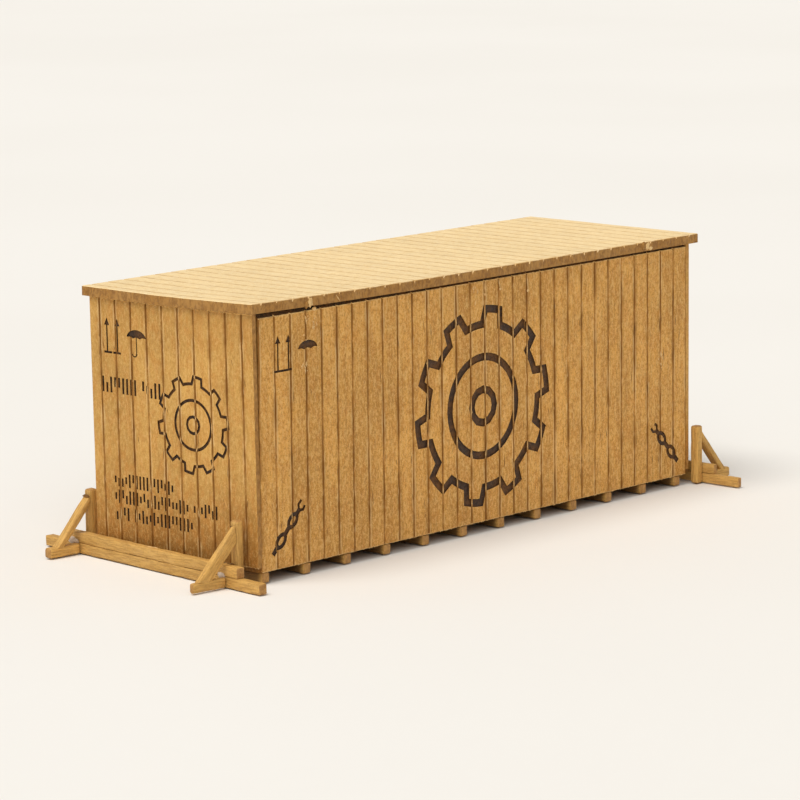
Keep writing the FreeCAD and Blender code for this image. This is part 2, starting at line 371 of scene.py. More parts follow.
def make_strip_material(name, base, dark, pale, grain="z", shade_span=None):
    """Sawn wood with its grain along one of the piece's own axes.

    Its last argument, if given, is a pair of distances from the piece's middle: painted shade, for
    the crate's shadow, darkens it nearer than the first, and there is none beyond the second.
    """
    surface = Surface(name)
    along = {"x": (0.10, 1, 1), "y": (1, 0.10, 1), "z": (1, 1, 0.10)}[grain]
    grain_lines = surface.window(surface.noise(7.0, 3.0, 0.6, along, bend=0.5), 0.42, 0.66)
    wide_lines = surface.window(surface.noise(1.6, 2.0, 0.5, along), 0.35, 0.70)
    flecks = surface.window(surface.noise(4.4, 3.0, 0.65), 0.52, 0.72)
    tone = surface.window(surface.noise(0.10, 1.0, 0.5), 0.35, 0.65)
    colour = surface.layers(
        surface.mix(tone, shaded(base, 0.9), shaded(base, 1.08)),
        (wide_lines, 0.26, pale),
        (grain_lines, 0.44, dark),
        (flecks, 0.40, dark))
    if shade_span:
        inside, outside = shade_span
        # Painted shade: the crate's shadow on the part of a bearer under it.
        painted_shade = surface.window(surface.calc("ABSOLUTE", surface.axis(grain)), outside, inside)
        colour = surface.layers(colour, (painted_shade, 0.80, INNER))
    sunk = surface.calc("MULTIPLY", grain_lines, -0.8)
    relief = surface.calc("ADD", surface.noise(4.0, 4.0, 0.7), sunk)
    rough = surface.window(surface.noise(1.2), -0.5, 1.4)
    return surface.finish(colour, rough, surface.bump(relief, 0.8, 0.06))


# ---------------------------------------------------------------- making pieces

def finish_piece(name, mesh, body, materials, matrix=None, smooth=False):
    """Turns a mesh in millimetres into a piece that rides on a body.

    A mesh that came out of engrave has its materials already.
    """
    mesh.transform(Matrix.Scale(MM, 4))
    if not mesh.materials:
        for material in materials:
            mesh.materials.append(material)
    if smooth:
        for polygon in mesh.polygons:
            polygon.use_smooth = polygon.area < FLAT_AREA * MM * MM
        mesh.set_sharp_from_angle(angle=math.radians(50))
    piece = bpy.data.objects.new(name, mesh)
    bpy.context.scene.collection.objects.link(piece)
    if matrix is not None:
        piece.matrix_world = matrix
    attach(piece, body)
    return piece


def face_outward(form):
    """Turns each closed part of a form so that its faces look outward."""
    bmesh.ops.recalc_face_normals(form, faces=form.faces)
    left = set(form.faces)
    while left:
        part, edge_of = [], [left.pop()]
        while edge_of:
            face = edge_of.pop()
            part.append(face)
            near = {f for e in face.edges for f in e.link_faces} & left
            left -= near
            edge_of.extend(near)
        origin = part[0].verts[0].co
        volume = 0.0
        for face in part:
            corners = [v.co - origin for v in face.verts]
            for b, c in zip(corners[1:], corners[2:]):
                volume += corners[0].dot(b.cross(c))
        if volume < 0:
            bmesh.ops.reverse_faces(form, faces=part)


def to_mesh(form, name):
    """Turns a form into a mesh whose faces look outward."""
    face_outward(form)
    mesh = bpy.data.meshes.new(name)
    form.to_mesh(mesh)
    form.free()
    return mesh


def uneven(u, v, seed, size=1.0):
    """A smooth random number from about -0.5 to 0.5 at a place, the same each run."""
    return noise.noise(Vector((u * size, v * size, seed)))


def row_stops(low, high, spacing):
    """Places from low to high, with a narrow chamfer at each end."""
    count = max(2, round((high - low - 2 * CHAMFER) / spacing))
    inner = [low + CHAMFER + (high - low - 2 * CHAMFER) * i / count for i in range(count + 1)]
    return [low, *inner, high]


def column_stops(low, high, grooves):
    """Each column of a grooved panel as (place, kind), where kind is flat, lip or bottom."""
    stops = [(low, "flat")]
    edges = [low, *grooves, high]
    for left, right in zip(edges, edges[1:]):
        start = left + (CHAMFER if left == low else GROOVE_HALF)
        stop = right - (CHAMFER if right == high else GROOVE_HALF)
        stops.append((start, "flat" if left == low else "lip"))
        stops.extend((start + (stop - start) * share, "flat") for share in (0.3, 0.7))
        stops.append((stop, "flat" if right == high else "lip"))
        if right != high:
            stops.append((right - GROOVE_FLOOR_HALF, "bottom"))
            stops.append((right + GROOVE_FLOOR_HALF, "bottom"))
    stops.append((high, "flat"))
    return stops


def panel_stray(columns, i, v, j, flare, seed):
    """How far a point of a grooved face strays along the face, and out from it."""
    u, kind = columns[i]
    along, out = 0.0, FACE_WAVE * uneven(u, v, seed, 0.8)
    wear = flare * (1 + 2.2 * uneven(round(u), 0.5 + j, seed + 2, 0.77))
    if kind == "bottom":
        out -= GROOVE_DEPTH * (1 + 0.9 * uneven(round(u), v, seed + 9, 0.7)) * (1 + wear)
    if kind == "lip":
        side = 1 if columns[i - 1][1] == "bottom" else -1
        along = side * 0.05 * uneven(u * 3, v, seed + 5, 1.3) + side * 0.09 * wear
    return along, out


def close_panel(form, outer, inner, side_edge, top_edge):
    """Joins a panel's rows of outer and inner points into a closed sheet."""
    last_row, last_column = len(outer) - 1, len(outer[0]) - 1
    for j in range(last_row):
        for i in range(last_column):
            corners = ((j, i), (j, i + 1), (j + 1, i + 1), (j + 1, i))
            face = form.faces.new([outer[row][column] for row, column in corners])
            face.material_index = RIM if j in (0, last_row - 1) else FACE
            form.faces.new([inner[row][column] for row, column in (corners[0], *corners[:0:-1])])
    for i in range(last_column):
        for j, material_index in ((0, CUT_EDGE), (last_row, top_edge)):
            edge = form.faces.new((outer[j][i], outer[j][i + 1], inner[j][i + 1], inner[j][i]))
            edge.material_index = material_index
    for j in range(last_row):
        for i in (0, last_column):
            side = form.faces.new((outer[j][i], outer[j + 1][i], inner[j + 1][i], inner[j][i]))
            side.material_index = side_edge


def grooved_panel(wide, tall, thickness, grooves, place, seed, notch=0.0,
                  side_edge=CUT_EDGE, top_edge=CUT_EDGE):
    """A closed sheet with V grooves on its outer face; place(u, v, w) puts a point in the frame.

    notch widens and deepens the grooves where they run out at the sheet's edge. side_edge and
    top_edge are the materials of its upright edges and of its top.
    """
    columns = column_stops(*wide, grooves)
    rows = row_stops(*tall, ROW_SPACING)
    form = bmesh.new()
    outer, inner = [], []
    for j, v in enumerate(rows):
        rim = j in (0, len(rows) - 1)
        flare = notch if rim else notch * 0.5 if j in (1, len(rows) - 2) else 0.0
        outer_row, inner_row = [], []
        for i, (u, _) in enumerate(columns):
            along, out = panel_stray(columns, i, v, j, flare, seed)
            if rim or i in (0, len(columns) - 1):
                out -= RIM_DROP
            outer_row.append(form.verts.new(place(u + along, v, out)))
            inner_row.append(form.verts.new(place(u, v, -thickness)))
        outer.append(outer_row)
        inner.append(inner_row)
    close_panel(form, outer, inner, side_edge, top_edge)
    return form


def add_sliver(form, start, end, radius):
    """A thin closed spindle, for a loose fibre."""
    start, end = Vector(start), Vector(end)
    along = (end - start).normalized()
    side = along.orthogonal().normalized()
    other = along.cross(side)
    middle = start.lerp(end, 0.45)
    ring = [form.verts.new(middle + radius * d) for d in (side, other, -side, -other)]
    tips = [form.verts.new(start), form.verts.new(end)]
    for i in range(4):
        for tip in tips:
            form.faces.new((ring[i], ring[(i + 1) % 4], tip))


# ---------------------------------------------------------------- engraved marks

def arc(centre, radius, start, stop, steps):
    """Points on a circle between two angles in degrees."""
    x, y = centre
    angles = [math.radians(start + (stop - start) * i / steps) for i in range(steps + 1)]
    return [Vector((x + radius * math.cos(a), y + radius * math.sin(a))) for a in angles]


def line_loops(points, width, closed=False):
    """The outline of a drawn line: one loop, or two for a closed line."""
    points = [Vector(p) for p in points]
    count = len(points)
    left, right = [], []
    for i, point in enumerate(points):
        before = points[i] - points[i - 1] if closed or i else points[1] - points[0]
        after = points[(i + 1) % count] - points[i] if closed or i < count - 1 else before
        before, after = before.normalized(), after.normalized()
        along = (before + after).normalized()
        normal = Vector((-along.y, along.x))
        reach = width / 2 / max(0.45, normal.dot(Vector((-before.y, before.x))))
        left.append(point + normal * reach)
        right.append(point - normal * reach)
    if closed:
        return [left, right]
    return [left + right[::-1]]


def arrow_loops(u, top, bottom):
    """A plain upright arrow."""
    head = [(u, top), (u - 0.34, top - 0.68), (u + 0.34, top - 0.68)]
    shaft = [(u, top - 0.5), (u, bottom)]
    return [[[Vector(p) for p in head]], line_loops(shaft, 0.17)]


def handling_marks(u, top, stick):
    """Two upright arrows on base lines and an umbrella with or without its stick, drawn plainly."""
    foot, ground = top - 3.1, top - 3.15
    marks = arrow_loops(u, top, foot) + arrow_loops(u + 1.33, top, foot)
    bases = ((-0.42, 0.62), (0.74, 1.75)) if stick else ((-0.50, 1.75),)
    for left, right in bases:
        marks.append(line_loops([(u + left, ground), (u + right, ground)], 0.2))
    x, y = u + 3.8, top - 1.62
    canopy = [Vector((p.x, y + (p.y - y) * 0.66)) for p in arc((x, y), 1.25, 8, 172, 16)]
    scallops = ((-0.82, 0.16), (-0.41, 0.02), (0.0, 0.16), (0.41, 0.02), (0.82, 0.16))
    marks.append([canopy + [Vector((x + along, y + up)) for along, up in scallops]])
    if stick:
        low = top - 3.0
        hook = [tuple(p) for p in arc((x - 0.27, low), 0.27, 0, -180, 6)]
        marks.append(line_loops([(x, y + 0.3), (x, low)] + hook, 0.12))
    return marks


def cog_marks(centre, radius, width):
    """A plain cog wheel with a ring inside it."""
    teeth = 10
    outline = []
    for i in range(teeth):
        angle = 360 / teeth * i + 9
        outline += arc(centre, radius * 0.83, angle - 18, angle - 9.5, 2)
        outline += arc(centre, radius * 0.98, angle - 6.5, angle + 6.5, 3)
        outline += arc(centre, radius * 0.83, angle + 9.5, angle + 14, 1)
    ring = arc(centre, radius * 0.50, 0, 350, 35)
    hub = arc(centre, radius * 0.17, 0, 330, 11)
    return [line_loops(points, width, closed=True) for points in (outline, ring, hub)]


def chain_marks(start, end):
    """A short run of plain chain links, seen flat and edge-on by turns, with a hook at its end."""
    start, end = Vector(start), Vector(end)
    along = (end - start).normalized()
    across = Vector((-along.y, along.x))
    length = (end - start).length

    def spot(share, side=0.0):
        return start + along * (length * share) + across * side

    marks = []
    for middle in (0.27, 0.66):
        turns = [math.radians(30 * i) for i in range(12)]
        link = [spot(middle + 0.12 * math.cos(a), 0.43 * math.sin(a)) for a in turns]
        marks.append(line_loops(link, 0.38, closed=True))
    for low, high in ((0.0, 0.17), (0.37, 0.56), (0.76, 0.90)):
        marks.append(line_loops([spot(low), spot(high)], 0.50))
    hook = ((1.0, -0.30), (0.93, -0.40), (0.88, -0.12), (0.88, 0.12), (0.93, 0.40), (1.02, 0.36))
    marks.append(line_loops([spot(*place) for place in hook], 0.27))
    return marks


def bar_row(left, bottom, height, groups, spacing, width, seed):
    """A row of plain upright bars, long and short by chance, which stand for no letters."""
    draw = random.Random(seed)
    spans = ((0.0, 1.0), (0.0, 1.0), (0.0, 0.62), (0.38, 1.0), (0.25, 0.75))
    marks = []
    u = left
    for count in groups:
        for _ in range(count):
            ends = [(u, bottom + share * height) for share in draw.choice(spans)]
            marks.append(line_loops(ends, width))
            u += spacing
        u += spacing
    return marks


def groove_crossings(marks, groove):
    """Where the marks cross a groove, as (low, high) pairs."""
    pairs = []
    for loops in marks:
        places = []
        for loop in loops:
            for a, b in zip(loop, loop[1:] + loop[:1]):
                if (a.x - groove) * (b.x - groove) < 0:
                    places.append(a.y + (b.y - a.y) * (groove - a.x) / (b.x - a.x))
        places.sort()
        pairs += zip(places[::2], places[1::2])
    return pairs


def add_flat_marks(form, marks):
    """Fills each mark, whose inner loops are holes, with flat faces."""
    for loops in marks:
        flat = [[Vector((p.x, p.y, 0)) for p in loop] for loop in loops]
        verts = [form.verts.new(p) for loop in flat for p in loop]
        for triangle in tessellate_polygon(flat):
            form.faces.new([verts[i] for i in triangle])


def marks_solid(parted, whole, grooves, place):
    """The marks as closed solids through a panel's outer face; some part at each groove."""
    form = bmesh.new()
    add_flat_marks(form, parted)
    for groove in grooves:
        for side in (-MARK_GAP, MARK_GAP):
            geometry = form.verts[:] + form.edges[:] + form.faces[:]
            bmesh.ops.bisect_plane(form, geom=geometry, dist=1e-4, plane_co=(groove + side, 0, 0),
                                   plane_no=(1, 0, 0))
        inside = [f for f in form.faces if abs(f.calc_center_median().x - groove) < MARK_GAP * 0.98]
        bmesh.ops.delete(form, geom=inside, context="FACES")
    add_flat_marks(form, whole)
    form.normal_update()
    for face in form.faces:
        if face.normal.z < 0:
            face.normal_flip()
    extruded = bmesh.ops.extrude_face_region(form, geom=form.faces[:], use_keep_orig=True)
    tops = {v for v in extruded["geom"] if isinstance(v, bmesh.types.BMVert)}
    for vert in form.verts:
        u, v = vert.co.x, vert.co.y
        depth = CUTTER_RISE if vert in tops else -MARK_DEPTH * (1 + 0.3 * uneven(u, v, 3.0, 1.5))
        vert.co = place(u, v, depth)
    for face in form.faces:
        face.material_index = BURNT_MARK
    return form


def engrave(panel, cutter, materials):
    """The panel's mesh with the cutter's solids taken out of it."""
    objects = []
    for name, form in (("panel", panel), ("cutter", cutter)):
        item = bpy.data.objects.new(name, to_mesh(form, name))
        for material in materials:
            item.data.materials.append(material)
        bpy.context.scene.collection.objects.link(item)
        objects.append(item)
    cut = objects[0].modifiers.new("engrave", "BOOLEAN")
    cut.operation = "DIFFERENCE"
    cut.solver = "EXACT"
    cut.use_self = True
    cut.object = objects[1]
    bpy.context.view_layer.update()
    depsgraph = bpy.context.evaluated_depsgraph_get()
    mesh = bpy.data.meshes.new_from_object(objects[0].evaluated_get(depsgraph))
    for item in objects:
        bpy.data.objects.remove(item)
    return mesh


# ---------------------------------------------------------------- the crate

def box_mm(node):
    """The low and high corners of a CAD part's box."""
    low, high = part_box(node)
    return low / MM, high / MM


side_low, side_high = box_mm("side_wall_front")
end_low, end_high = box_mm("end_wall_left")
right_low, right_high = box_mm("end_wall_right")
back_low, back_high = box_mm("side_wall_back")
lid_low, lid_high = box_mm("lid")
pitch = (side_high.x - side_low.x) / SIDE_BOARDS
middle_x = (side_low.x + side_high.x) / 2
middle_y = (end_low.y + end_high.y) / 2
side_grooves = [side_low.x + pitch * i for i in range(1, SIDE_BOARDS)]
lid_grooves = [side_low.x + pitch * i for i in range(SIDE_BOARDS + 1)]
end_grooves = [-middle_y + pitch * (i - 4.5) for i in range(10)]

# The front wall's tint is brighter than the end wall's: partly the card's own tone, partly painted
# light that makes up for the lesser light on the front wall.
side_material = make_wall_material(
    "side_card", "x", side_low.x, pitch, tint=(1.26, 1.25, 1.24),
    foot_shade=0.16, top_shade=0.0, grain=0.44, streaks=0.9)
end_material = make_wall_material(
    "end_card", "y", middle_y + pitch / 2, pitch, tint=(1.06, 1.14, 1.24),
    foot_shade=1.10, top_shade=0.32, grain=0.27, streaks=0.35)
lid_material = make_lid_material()
edge_material = make_speckled_material("cut_edge", EDGE, EDGE_DARK, EDGE_PALE, (1.6, 1.6, 0.8))
rim_material = make_speckled_material("worn_rim", WALL_PALE, WALL_DARK, FIBRE, (1, 1, 1))
lid_rim_material = make_speckled_material("lid_rim", LID_DARK, EDGE_PALE, LID_PALE, (1, 1, 1))
burnt_material = make_speckled_material("burnt_mark", BURNT, BURNT_DARK, SCORCH, (1, 1, 1), 0.9)
fibre_material = make_speckled_material("torn_fibre", FIBRE, FIBRE_DARK, FIBRE, (1, 1, 1))
glue_material = make_speckled_material("glue", GLUE, GLUE_DARK, GLUE, (1, 1, 1), 0.5, 0.5)
smudge_material = make_speckled_material("smudge", EDGE_DARK, INNER_DARK, EDGE, (1, 1, 1))
strip_material = make_strip_material("strip_wood", STRIP, STRIP_DARK, STRIP_PALE)
# The bearers carry painted shade: they darken under the crate, where its shadow falls.
bearer_material = make_strip_material(
    "bearer_wood", STRIP, STRIP_DARK, STRIP_PALE, shade_span=(9.5, 10.15))
end_grain_material = make_speckled_material(
    "end_grain", END_GRAIN, END_GRAIN_DARK, EDGE_PALE, (1, 1, 1))
inner_material = make_strip_material("inner_card", INNER, INNER_DARK, EDGE_DARK, "x")


def lid_lift(u, v):
    """How far the lid's near left corner has curled up."""
    along = max(0.0, 1 - (u - lid_low.x) / LIFT_ALONG)
    across = max(0.0, 1 - (v - lid_low.y) / LIFT_ACROSS)
    return CORNER_LIFT * along ** 1.6 * across ** 1.3


def lean(v):
    """How far the left end wall leans out at a height."""
    return END_LEAN * max(0.0, (v - end_low.z) / (end_high.z - end_low.z))


# Each place function puts a point of a sheet in the frame: u and v are along and up its face,
# and w is out from it.

def side_front_place(u, v, w):
    """The front wall, whose back edge stands up to the lid."""
    top = max(0.0, v - side_high.z + SIDE_TOP_BAND) / SIDE_TOP_BAND
    depth = max(0.0, -w) / (side_high.y - side_low.y)
    rise = lid_low.z - side_high.z + lid_lift(u, side_low.y)
    return Vector((u, side_low.y - w, v + rise * top * depth))


def side_back_place(u, v, w):
    return Vector((u, back_high.y + w, v))


def end_left_place(u, v, w):
    """The end wall leans out, and its top follows the lid."""
    rise = lid_lift(lid_low.x, -u) * max(0.0, v - end_high.z + END_TOP_BAND) / END_TOP_BAND
    return Vector((end_low.x - w - lean(v), -u, v + rise))


def end_right_place(u, v, w):
    return Vector((right_high.x + w, u, v))


def lid_place(u, v, w):
    """The lid, whose v is across the crate."""
    return Vector((u, v, lid_high.z + w + lid_lift(u, v)))


def side_marks():
    """The front wall's marks: those that part at the grooves, and those cut whole."""
    parted = cog_marks((middle_x - 0.3, 11.95), 9.3, 0.74)
    whole = handling_marks(middle_x - 27.6, 21.9, False)
    whole += chain_marks((middle_x - 28.6, 2.4), (middle_x - 24.7, 6.5))
    whole += chain_marks((middle_x + 28.7, 2.5), (middle_x + 24.9, 6.5))
    return parted, whole


def end_marks():
    """The left end wall's marks: those that part at the grooves, and those cut whole."""
    u = -middle_y
    parted = cog_marks((u + 2.65, 13.5), 4.5, 0.28)
    parted += bar_row(u - 8.8, 15.35, 1.45, (9, 5), 0.52, 0.25, 4)
    parted += bar_row(u - 7.6, 6.75, 1.25, (17,), 0.46, 0.23, 5)
    parted += bar_row(u - 7.6, 5.2, 1.25, (21, 7), 0.46, 0.23, 6)
    parted += bar_row(u - 7.5, 3.65, 1.2, (4, 16), 0.48, 0.23, 7)
    return parted, handling_marks(u - 8.10, 22.2, True)


class Wall:
    """One wall of the crate.

    wide and tall are the (low, high) of its face, and place puts a point of it in the frame.
    marks is a pair: the marks that part at the grooves, and those cut whole. scars are the places
    where the card is torn, and side_edge is the material of its upright edges.
    """

    def __init__(self, name, wide, tall, thickness, grooves, place, material, seed,
                 marks=(), scars=(), side_edge=CUT_EDGE):
        self.name = name
        self.side = name.split("_")[-1]
        self.wide = wide
        self.tall = tall
        self.thickness = thickness
        self.grooves = grooves
        self.place = place
        self.material = material
        self.seed = seed
        self.marks = marks
        self.scars = scars
        self.side_edge = side_edge


def crate_walls():
    """The four walls: front, back, left and right."""
    side_wide = (side_low.x, side_high.x)
    side_tall = (side_low.z, side_high.z - WALL_WEAR)
    side_thickness = side_high.y - side_low.y
    end_tall = (end_low.z, end_high.z - WALL_WEAR)
    end_thickness = end_high.x - end_low.x
    scars = [(middle_x + u, v) for u, v in
             ((-24.0, 22.5), (-24.3, 18.6), (-23.0, 22.3), (-1.2, 23.0), (26.0, 13.0))]
    return (
        Wall("side_wall_front", side_wide, side_tall, side_thickness, side_grooves,
             side_front_place, side_material, seed=11, marks=side_marks(), scars=scars),
        Wall("side_wall_back", side_wide, side_tall, side_thickness, side_grooves,
             side_back_place, side_material, seed=23),
        Wall("end_wall_left", (-end_high.y, -end_low.y), end_tall, end_thickness, end_grooves,
             end_left_place, end_material, seed=37, marks=end_marks()),
        Wall("end_wall_right", (right_low.y, right_high.y), end_tall, end_thickness,
             [-g for g in end_grooves][::-1], end_right_place, end_material, seed=41,
             side_edge=FACE))


def make_wall(wall):
    """A grooved wall with its engraved marks; its top edge is near-black, a painted shade for the
    gap under the lid.
    """
    materials = (wall.material, edge_material, rim_material, burnt_material)
    # The top edge takes the burnt marks' near-black as painted shade: the shadow in the gap under
    # the lid.
    panel = grooved_panel(wall.wide, wall.tall, wall.thickness, wall.grooves, wall.place, wall.seed,
                          side_edge=wall.side_edge, top_edge=BURNT_MARK)
    if wall.marks:
        mesh = engrave(panel, marks_solid(*wall.marks, wall.grooves, wall.place), materials)
        mesh.name = wall.name
    else:
        mesh = to_mesh(panel, wall.name)
    piece = finish_piece(wall.name + "_card", mesh, "crate", materials)
    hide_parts(wall.name)


def make_wall_fibres(wall, seed):
    """Torn fibres along the grooves, the lower edge and round each scar; pale slivers where marks
    cross a groove are a painted highlight.
    """
    draw = random.Random(seed)
    form = bmesh.new()
    low_v, high_v = wall.tall

    def sliver(u, v, du, dv, height, radius):
        start = wall.place(u, v, height)
        add_sliver(form, start, wall.place(u + du, v + dv, height + 0.01), radius)

    for groove in wall.grooves:
        for _ in range(FIBRES_PER_GROOVE):
            v = draw.uniform(low_v + 0.5, high_v - 2.0)
            side = draw.choice((-0.13, 0.13))
            sliver(groove + side, v, draw.uniform(-0.03, 0.03), draw.uniform(0.3, 1.5), 0.01, 0.028)
        # Pale slivers across a mark where it parts at a groove: painted highlight, for the glimmer
        # on the groove's edges.
        crossings = groove_crossings(wall.marks[0], groove) if wall.marks else []
        for low, high in crossings:
            sliver(groove, low - 0.10, draw.uniform(-0.03, 0.03), high - low + 0.20, 0.0, 0.045)
    for _ in range(round((wall.wide[1] - wall.wide[0]) * FOOT_FIBRES_PER_MM)):
        u = draw.uniform(*wall.wide)
        sliver(u, low_v + 0.05, draw.uniform(-0.2, 0.2), draw.uniform(-0.14, 0.02), -0.03, 0.03)
    for u, v in wall.scars:
        for _ in range(FIBRES_PER_SCAR):
            start = (u + draw.gauss(0, 0.22), v + draw.gauss(0, 0.45))
            sliver(*start, draw.uniform(-0.25, 0.25), draw.uniform(-0.6, 0.6), 0.02, 0.08)
    name = wall.side + "_fibres"
    finish_piece(name, to_mesh(form, name), "crate", (fibre_material,))


def make_wall_cracks(wall, seed):
    """Dark splits in the card, most of them beside a groove."""
    draw = random.Random(seed)
    form = bmesh.new()
    left, right = wall.wide
    for _ in range(round((right - left) * CRACKS_PER_MM)):
        u = draw.choice(wall.grooves) + draw.gauss(0, 0.35)
        u = min(max(u, left + 0.3), right - 0.3)
        v = draw.uniform(wall.tall[0] + 0.5, wall.tall[1] - 3.0)
        radius = draw.uniform(0.025, 0.05)
        sunk = -0.3 * radius
        end = wall.place(u + draw.uniform(-0.25, 0.25), v + draw.uniform(0.6, 2.4), sunk)
        add_sliver(form, wall.place(u, v, sunk), end, radius)
    name = wall.side + "_cracks"
    finish_piece(name, to_mesh(form, name), "crate", (smudge_material,))


def make_crate_shell():
    walls = crate_walls()
    for wall in walls:
        make_wall(wall)
    for i, wall in enumerate(walls):
        make_wall_fibres(wall, FIBRE_SEED + i)
    for i, wall in enumerate(walls):
        make_wall_cracks(wall, CRACK_SEED + i)


def add_lump(form, centre, size, seed):
    """A rounded lump of uneven shape."""
    made = bmesh.ops.create_icosphere(form, subdivisions=2, radius=1.0)
    for vert in made["verts"]:
        rough = 1 + 0.5 * uneven(vert.co.x + vert.co.z, vert.co.y + seed, seed, 1.4)
        vert.co = Vector(centre) + Vector(c * s * rough for c, s in zip(vert.co, size))


def make_lumps(name, body, material, lumps):
    """Small lumps, each a centre and half sizes, as one piece."""
    form = bmesh.new()
    for seed, (centre, size) in enumerate(lumps):
        add_lump(form, centre, size, seed * 3.7)
    finish_piece(name, to_mesh(form, name), body, (material,), smooth=True)


def make_lid():
    """The lid's grooved card, with torn and scorched tabs on its front edge."""
    thickness = lid_high.z - lid_low.z
    form = grooved_panel((lid_low.x, lid_high.x), (lid_low.y, lid_high.y), thickness, lid_grooves,
                         lid_place, seed=53, notch=0.4)
    piece = finish_piece("lid_card", to_mesh(form, "lid_card"), "crate",
                         (lid_material, edge_material, lid_rim_material))
    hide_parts("lid")
    front, level = lid_low.y, (lid_low.z + lid_high.z) / 2
    make_lumps("lid_torn_tabs", "crate", fibre_material, (
        ((middle_x - 23.75, front, level + 0.08), (0.34, 0.10, 0.47)),
        ((middle_x - 22.90, side_low.y, side_high.z + 0.04), (0.28, 0.12, 0.18)),
        ((middle_x + 23.55, front, level - 0.02), (0.34, 0.09, 0.40)),
        ((middle_x + 24.05, front, level - 0.25), (0.26, 0.07, 0.18))))
    make_lumps("lid_scorched_tabs", "crate", edge_material, (
        ((middle_x - 24.25, front, level - 0.12), (0.30, 0.14, 0.34)),
        ((middle_x + 22.95, front, level + 0.10), (0.30, 0.13, 0.42))))


def make_loose_fibres():
    """Fibres that hang from the front wall's top edge, and one across the lid's front edge."""
    form = bmesh.new()
    radius = 0.07
    top = side_high.z - WALL_WEAR
    for u, drop, swing in ((0.0, 1.25, 0.0), (1.95, 1.0, 0.2), (6.0, 1.6, 0.1)):
        start = side_front_place(middle_x + u, top, 0.04)
        end = side_front_place(middle_x + u + swing, top - drop, 0.06)
        add_sliver(form, start, end, radius)
        add_lump(form, end, (0.14, 0.06, 0.13), u)
    front = lid_low.y - 0.02
    start = (middle_x - 20.5, front, lid_high.z - 0.1)
    end = (middle_x - 19.9, front, lid_low.z + 0.1)
    add_sliver(form, start, end, radius)
    name = "loose_fibres"
    finish_piece(name, to_mesh(form, name), "crate", (fibre_material,))


# ---------------------------------------------------------------- wood strips

def long_axis(form):
    """The direction of a strip's longest edge."""
    longest = max(form.edges, key=lambda e: e.calc_length())
    return (longest.verts[1].co - longest.verts[0].co).normalized()


def cad_form(node):
    """A CAD part's shape in millimetres, without the edges inside its flat faces."""
    form = bmesh.new()
    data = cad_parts[node].data
    verts = [form.verts.new(v.co / MM) for v in data.vertices]
    for polygon in data.polygons:
        form.faces.new([verts[i] for i in polygon.vertices])
    bmesh.ops.remove_doubles(form, verts=form.verts, dist=0.002)
    bmesh.ops.recalc_face_normals(form, faces=form.faces)
    form.normal_update()
    bmesh.ops.dissolve_limit(form, angle_limit=0.02, verts=form.verts, edges=form.edges)
    return form


def cut_across(form):
    """Cuts a strip's faces across at even distances, so that they can be made uneven."""
    low = min(v.co.z for v in form.verts)
    high = max(v.co.z for v in form.verts)
    count = max(2, round((high - low) / STRIP_SPACING))
    for i in range(1, count):
        geometry = form.verts[:] + form.edges[:] + form.faces[:]
        place = (0, 0, low + (high - low) * i / count)
        bmesh.ops.bisect_plane(form, geom=geometry, dist=1e-4, plane_co=place, plane_no=(0, 0, 1))


def make_uneven(form, matrix):
    """Makes a strip's surface wavy, but never below the floor; matrix puts it in the frame."""
    form.normal_update()
    inverse = matrix.inverted()
    for vert in form.verts:
        wave = noise.noise(vert.co * 0.9) * 0.035 + noise.noise(vert.co * 3.1) * 0.02
        point = matrix @ (vert.co + vert.normal * (wave - 0.012))
        point.z = max(point.z, 0.0)
        vert.co = inverse @ point


def make_strip(node, body, seed, rounding, size, move):
    """A wood strip as the CAD shapes it, with eased edges, uneven faces and end grain.

    size scales its depth, its width and its length, and move shifts it along the crate. Its own
    z axis runs along it, from a place by chance, so that no two strips have the same grain.
    """
    draw = random.Random(seed)
    form = cad_form(node)
    middle = sum((v.co for v in form.verts), Vector()) / len(form.verts)
    shift = Vector((draw.uniform(0, 50), draw.uniform(0, 50), 0))
    turn = long_axis(form).to_track_quat("Z", "X").to_matrix().to_4x4()
    matrix = Matrix.Translation(middle) @ turn @ Matrix.Translation(-shift)
    form.transform(matrix.inverted())
    sideways = turn.to_3x3().inverted() @ Vector((0, 1, 0))
    deep, wide, long = size
    scale = (deep, wide, long) if abs(sideways.y) > abs(sideways.x) else (wide, deep, long)
    bmesh.ops.scale(form, vec=scale, space=Matrix.Translation(-shift), verts=form.verts)
    form.normal_update()
    bmesh.ops.bevel(form, geom=form.edges[:], offset=rounding, segments=3, profile=0.5,
                    affect="EDGES")
    cut_across(form)
    make_uneven(form, matrix)
    for face in form.faces:
        is_end = abs(face.normal.z) > 0.55
        face.material_index = int(is_end)
    matrix.translation.x += move
    matrix.translation *= MM
    wood = bearer_material if node.startswith("bearer") else strip_material
    piece = finish_piece(node + "_wood", to_mesh(form, node), body,
                         (wood, end_grain_material), matrix, smooth=True)
    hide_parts(node)


def strip_shape(node):
    """A strip's (rounding, size, move), from its name."""
    left = node.startswith("brace_left")
    if node.startswith("bearer"):
        return BEARER_ROUNDING, (1, 1, 1), 0.0
    if "post" in node:
        return POST_ROUNDING, (1, 1, 1), LEFT_POST_MOVE if left else 0.0
    if "foot" in node:
        return FOOT_ROUNDING, (1, 1, 1), 0.0
    if "strut" in node:
        deep = NEAR_STRUT_DEPTH_RATIO if node == "brace_left_strut_front" else 1.0
        return BEAM_ROUNDING, (deep, 1, STRUT_LENGTH_RATIO), LEFT_STRUT_MOVE if left else 0.0
    return BEAM_ROUNDING, (1, 1, 1), 0.0


def make_strips():
    """The crate's bearers and all the strips of both frames."""
    for seed, node in enumerate(sorted(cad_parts)):
        if node.startswith("bearer"):
            make_strip(node, "crate", seed, *strip_shape(node))
        for body in ("brace_left", "brace_right"):
            if node.startswith(body):
                make_strip(node, body, seed, *strip_shape(node))


